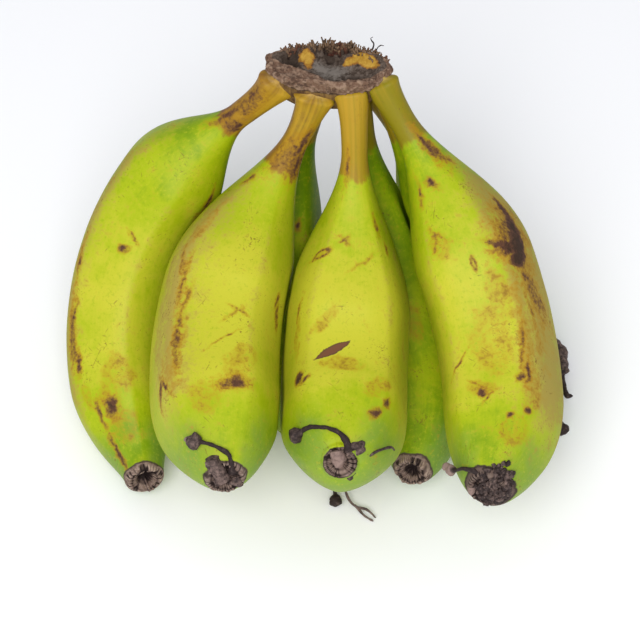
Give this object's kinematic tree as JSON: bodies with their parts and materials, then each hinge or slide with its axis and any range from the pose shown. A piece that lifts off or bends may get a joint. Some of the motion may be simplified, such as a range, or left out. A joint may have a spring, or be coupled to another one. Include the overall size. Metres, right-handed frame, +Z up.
{
  "type": "hand of bananas",
  "caption": "Hand of short plump bananas joined at one cut crown, with ridged skins, thin stalks and dried flower remains.",
  "frame": {"origin": "middle of the ground that the hand covers, level with the flat spots that it stands on", "axes": "+X to the right across the rows of fruits, +Y to the back, away from the blossom ends, +Z up"},
  "size_m": [0.2033, 0.1697, 0.1473],
  "materials": {
    "banana_front_1": "waxy green-yellow skin with a soft sheen, brown scars and tan ridges",
    "banana_front_2": "waxy green-yellow skin with a soft sheen, brown scars and tan ridges",
    "banana_front_3": "waxy green-yellow skin with a soft sheen, brown scars and tan ridges",
    "banana_front_4": "waxy green-yellow skin with a soft sheen, brown scars and tan ridges",
    "banana_back_1": "waxy green-yellow skin with a soft sheen, brown scars and tan ridges",
    "banana_back_2": "waxy green-yellow skin with a soft sheen, brown scars and tan ridges",
    "banana_back_3": "waxy green-yellow skin with a soft sheen, brown scars and tan ridges",
    "banana_back_4": "waxy green-yellow skin with a soft sheen, brown scars and tan ridges",
    "crown": "dry brown cut face with a warty rim and torn fibres"
  },
  "bodies": {
    "root": {"banana_front_1": "banana_front_1", "banana_front_2": "banana_front_2", "banana_front_3": "banana_front_3", "banana_front_4": "banana_front_4", "banana_back_1": "banana_back_1", "banana_back_2": "banana_back_2", "banana_back_3": "banana_back_3", "banana_back_4": "banana_back_4", "crown": "crown"}
  },
  "joints": []
}
